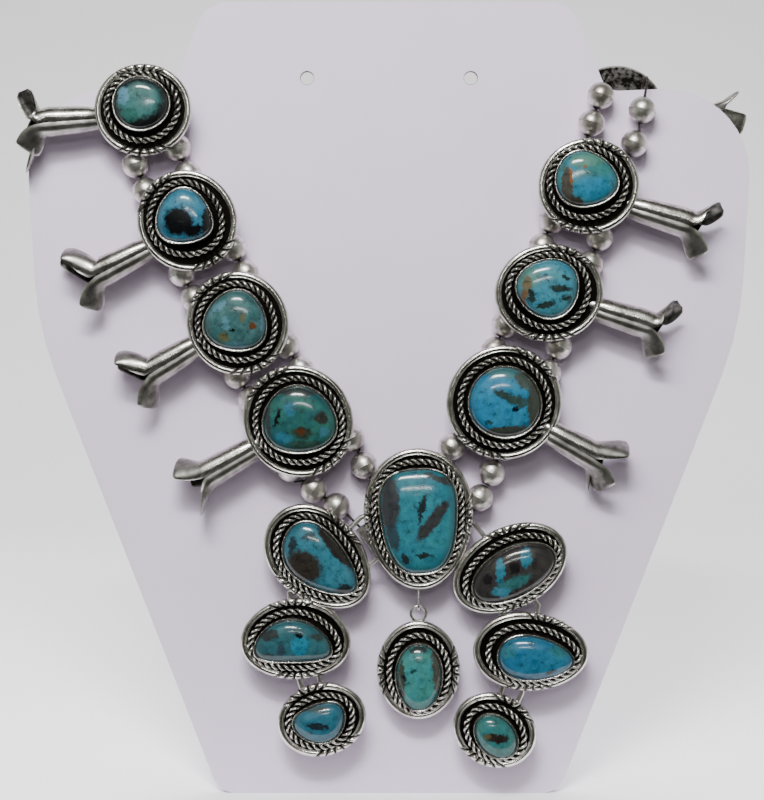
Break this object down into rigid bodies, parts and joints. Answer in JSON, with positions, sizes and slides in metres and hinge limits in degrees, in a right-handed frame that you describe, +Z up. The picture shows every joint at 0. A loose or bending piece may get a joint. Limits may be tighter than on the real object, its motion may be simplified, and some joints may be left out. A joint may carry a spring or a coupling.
{
  "type": "squash blossom necklace on a display card",
  "caption": "Silver squash blossom necklace with turquoise stones, a crescent naja and a hanging drop, draped over a leaning display card.",
  "frame": {"origin": "centre of the display card's bottom edge, on the surface it stands on", "axes": "+Z up, +X to the viewer's right across the card, +Y away from the viewer, behind the card, where the strut reaches the surface; the card leans back 12 degrees"},
  "size_m": [0.241, 0.095, 0.2553],
  "materials": {
    "silver": "polished sterling silver, darkened in the recesses",
    "turquoise": "polished turquoise with dark matrix",
    "card": "matte pale lavender display card",
    "thread": "dark twisted thread"
  },
  "bodies": {
    "necklace_on_card": {"display_card": "card", "card_strut": "card", "rosette_left_1": "silver", "rosette_left_2": "silver", "rosette_left_3": "silver", "rosette_left_4": "silver", "rosette_right_1": "silver", "rosette_right_2": "silver", "rosette_right_3": "silver", "rosette_right_4": "silver", "stone_left_1": "turquoise", "stone_left_2": "turquoise", "stone_left_3": "turquoise", "stone_left_4": "turquoise", "stone_right_1": "turquoise", "stone_right_2": "turquoise", "stone_right_3": "turquoise", "stone_right_4": "turquoise", "naja": "silver", "naja_stone_centre": "turquoise", "naja_stone_left_1": "turquoise", "naja_stone_left_2": "turquoise", "naja_stone_left_3": "turquoise", "naja_stone_right_1": "turquoise", "naja_stone_right_2": "turquoise", "naja_stone_right_3": "turquoise", "drop_link": "silver", "beads_inner_left": "silver", "beads_inner_right": "silver", "beads_outer_left": "silver", "beads_outer_right": "silver", "thread_inner": "thread", "thread_outer": "thread", "clasp_hook": "silver", "clasp_eye": "silver"},
    "drop": {"drop_setting": "silver", "drop_stone": "turquoise"}
  },
  "joints": [
    {"name": "drop_swing", "type": "hinge", "parent": "necklace_on_card", "child": "drop", "pos_m": [0.0096, 0.00597, 0.06126], "axis": [0, -0.9781, 0.2079], "range_deg": [-10, 10]}
  ]
}
